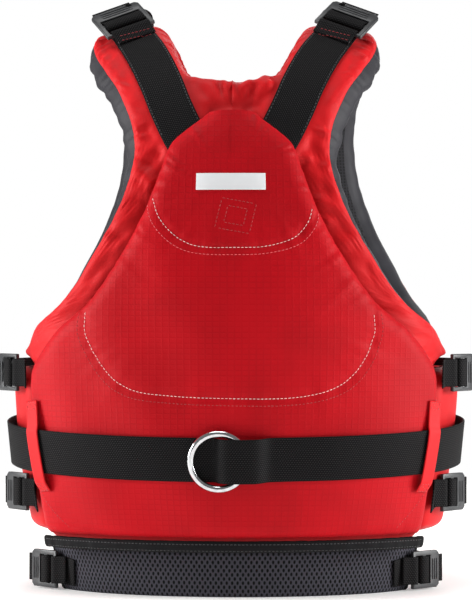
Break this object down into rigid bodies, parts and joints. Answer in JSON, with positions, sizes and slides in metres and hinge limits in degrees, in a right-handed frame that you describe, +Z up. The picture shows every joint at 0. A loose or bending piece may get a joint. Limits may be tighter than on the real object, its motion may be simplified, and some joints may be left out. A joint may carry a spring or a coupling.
{
  "type": "life jacket",
  "caption": "Pullover rescue life jacket with foam panels, side and shoulder straps with ladder locks, and a quick-release harness belt with a towing ring.",
  "frame": {"origin": "on the surface the vest stands on, under the middle of its bounding box", "axes": "+Z up along the wearer's spine, +Y out of the wearer's back, -Y out of the chest, +X to the wearer's left"},
  "size_m": [0.4428, 0.3462, 0.5397],
  "materials": {
    "red_nylon": "satin woven nylon",
    "red_ripstop": "ripstop nylon with a fine raised grid",
    "foam": "closed-cell foam, matte",
    "liner_mesh": "knitted lining mesh",
    "grey_mesh": "spacer mesh with black bound edges",
    "black_binding": "folded woven tape",
    "reflective_tape": "glass-bead reflective tape",
    "moulded_patch": "moulded rubber, matte",
    "red_webbing": "woven webbing",
    "black_webbing": "woven webbing",
    "acetal_plastic": "fine moulded grain",
    "gloss_ball": "polished moulding",
    "polished_steel": "polished",
    "zip_tape": "woven tape with coil teeth",
    "zip_metal": "painted die casting",
    "pull_plastic": "moulded"
  },
  "bodies": {
    "vest": {"back_liner": "liner_mesh", "back_foam_inner": "foam", "back_foam_outer": "foam", "yoke_shell": "red_nylon", "back_body_foam": "foam", "back_body_shell": "red_ripstop", "front_liner": "liner_mesh", "front_foam_inner": "foam", "front_foam_outer": "foam", "front_shell": "red_nylon", "back_hem_binding": "black_binding", "lumbar_flap": "grey_mesh", "front_waistband": "grey_mesh", "side_foam_left": "foam", "side_shell_left": "red_nylon", "side_foam_right": "foam", "side_shell_right": "red_nylon", "reflective_strip": "reflective_tape", "front_pocket": "red_ripstop", "lash_tab": "moulded_patch", "side_loop_upper_left": "black_webbing", "side_loop_upper_right": "black_webbing", "front_strap_upper": "black_webbing", "side_loop_lower_left": "black_webbing", "side_loop_lower_right": "black_webbing", "front_strap_lower": "black_webbing", "side_loop_waist_left": "black_webbing", "side_loop_waist_right": "black_webbing", "front_strap_waist": "black_webbing", "shoulder_webbing_left": "black_webbing", "shoulder_strap_front_left": "black_webbing", "shoulder_webbing_right": "black_webbing", "shoulder_strap_front_right": "black_webbing", "harness_belt": "black_webbing", "belt_loop_left": "red_webbing", "belt_loop_right": "red_webbing", "release_buckle": "acetal_plastic", "zip_tape": "zip_tape"},
    "side_lock_upper_left": {"side_lock_upper_left": "acetal_plastic", "side_strap_end_upper_left": "black_webbing"},
    "side_lock_upper_right": {"side_lock_upper_right": "acetal_plastic", "side_strap_end_upper_right": "black_webbing"},
    "side_lock_lower_left": {"side_lock_lower_left": "acetal_plastic", "side_strap_end_lower_left": "black_webbing"},
    "side_lock_lower_right": {"side_lock_lower_right": "acetal_plastic", "side_strap_end_lower_right": "black_webbing"},
    "side_lock_waist_left": {"side_lock_waist_left": "acetal_plastic", "side_strap_end_waist_left": "black_webbing"},
    "side_lock_waist_right": {"side_lock_waist_right": "acetal_plastic", "side_strap_end_waist_right": "black_webbing"},
    "shoulder_lock_left": {"shoulder_lock_left": "acetal_plastic", "shoulder_strap_end_left": "black_webbing"},
    "shoulder_lock_right": {"shoulder_lock_right": "acetal_plastic", "shoulder_strap_end_right": "black_webbing"},
    "ring": {"harness_ring": "polished_steel"},
    "release_lever": {"release_lever": "acetal_plastic"},
    "release_ball": {"release_ball": "gloss_ball"},
    "zip_slider": {"zip_slider": "zip_metal"},
    "zip_pull": {"zip_pull": "pull_plastic"}
  },
  "joints": [
    {"name": "side_lock_upper_left_tilt", "type": "hinge", "parent": "vest", "child": "side_lock_upper_left", "pos_m": [0.19829, 0.05745, 0.198], "axis": [0, 0, 1], "range_deg": [0, 35]},
    {"name": "side_lock_upper_right_tilt", "type": "hinge", "parent": "vest", "child": "side_lock_upper_right", "pos_m": [-0.19829, 0.05745, 0.198], "axis": [0, 0, -1], "range_deg": [0, 35]},
    {"name": "side_lock_lower_left_tilt", "type": "hinge", "parent": "vest", "child": "side_lock_lower_left", "pos_m": [0.1894, 0.05502, 0.089], "axis": [0, 0, 1], "range_deg": [0, 35]},
    {"name": "side_lock_lower_right_tilt", "type": "hinge", "parent": "vest", "child": "side_lock_lower_right", "pos_m": [-0.1894, 0.05502, 0.089], "axis": [0, 0, -1], "range_deg": [0, 35]},
    {"name": "side_lock_waist_left_tilt", "type": "hinge", "parent": "vest", "child": "side_lock_waist_left", "pos_m": [0.16276, 0.05763, 0.0186], "axis": [0, 0, 1], "range_deg": [0, 35]},
    {"name": "side_lock_waist_right_tilt", "type": "hinge", "parent": "vest", "child": "side_lock_waist_right", "pos_m": [-0.16276, 0.05763, 0.0186], "axis": [0, 0, -1], "range_deg": [0, 35]},
    {"name": "shoulder_lock_left_tilt", "type": "hinge", "parent": "vest", "child": "shoulder_lock_left", "pos_m": [0.09447, 0.05545, 0.51049], "axis": [-0.8721, -0.34, 0.352], "range_deg": [0, 35]},
    {"name": "shoulder_lock_right_tilt", "type": "hinge", "parent": "vest", "child": "shoulder_lock_right", "pos_m": [-0.09447, 0.05545, 0.51049], "axis": [-0.8721, 0.34, -0.352], "range_deg": [0, 35]},
    {"name": "ring_spin", "type": "hinge", "parent": "vest", "child": "ring", "pos_m": [0.01048, 0.16418, 0.12361], "axis": [0.0329, 0.9936, -0.1082], "continuous": true},
    {"name": "release_lever_open", "type": "hinge", "parent": "vest", "child": "release_lever", "pos_m": [0.008, -0.16414, 0.1468], "axis": [0, 0, 1], "range_deg": [0, 100]},
    {"name": "release_ball_swing", "type": "hinge", "parent": "release_lever", "child": "release_ball", "pos_m": [-0.015, -0.16414, 0.1248], "axis": [0, -1, 0], "range_deg": [-45, 45]},
    {"name": "zip_slide", "type": "slide", "parent": "vest", "child": "zip_slider", "axis": [-1, 0, 0], "range_m": [0, 0.108]},
    {"name": "zip_pull_lift", "type": "hinge", "parent": "zip_slider", "child": "zip_pull", "pos_m": [0.054, -0.16177, 0.303], "axis": [-1, 0, 0], "range_deg": [0, 120]}
  ]
}
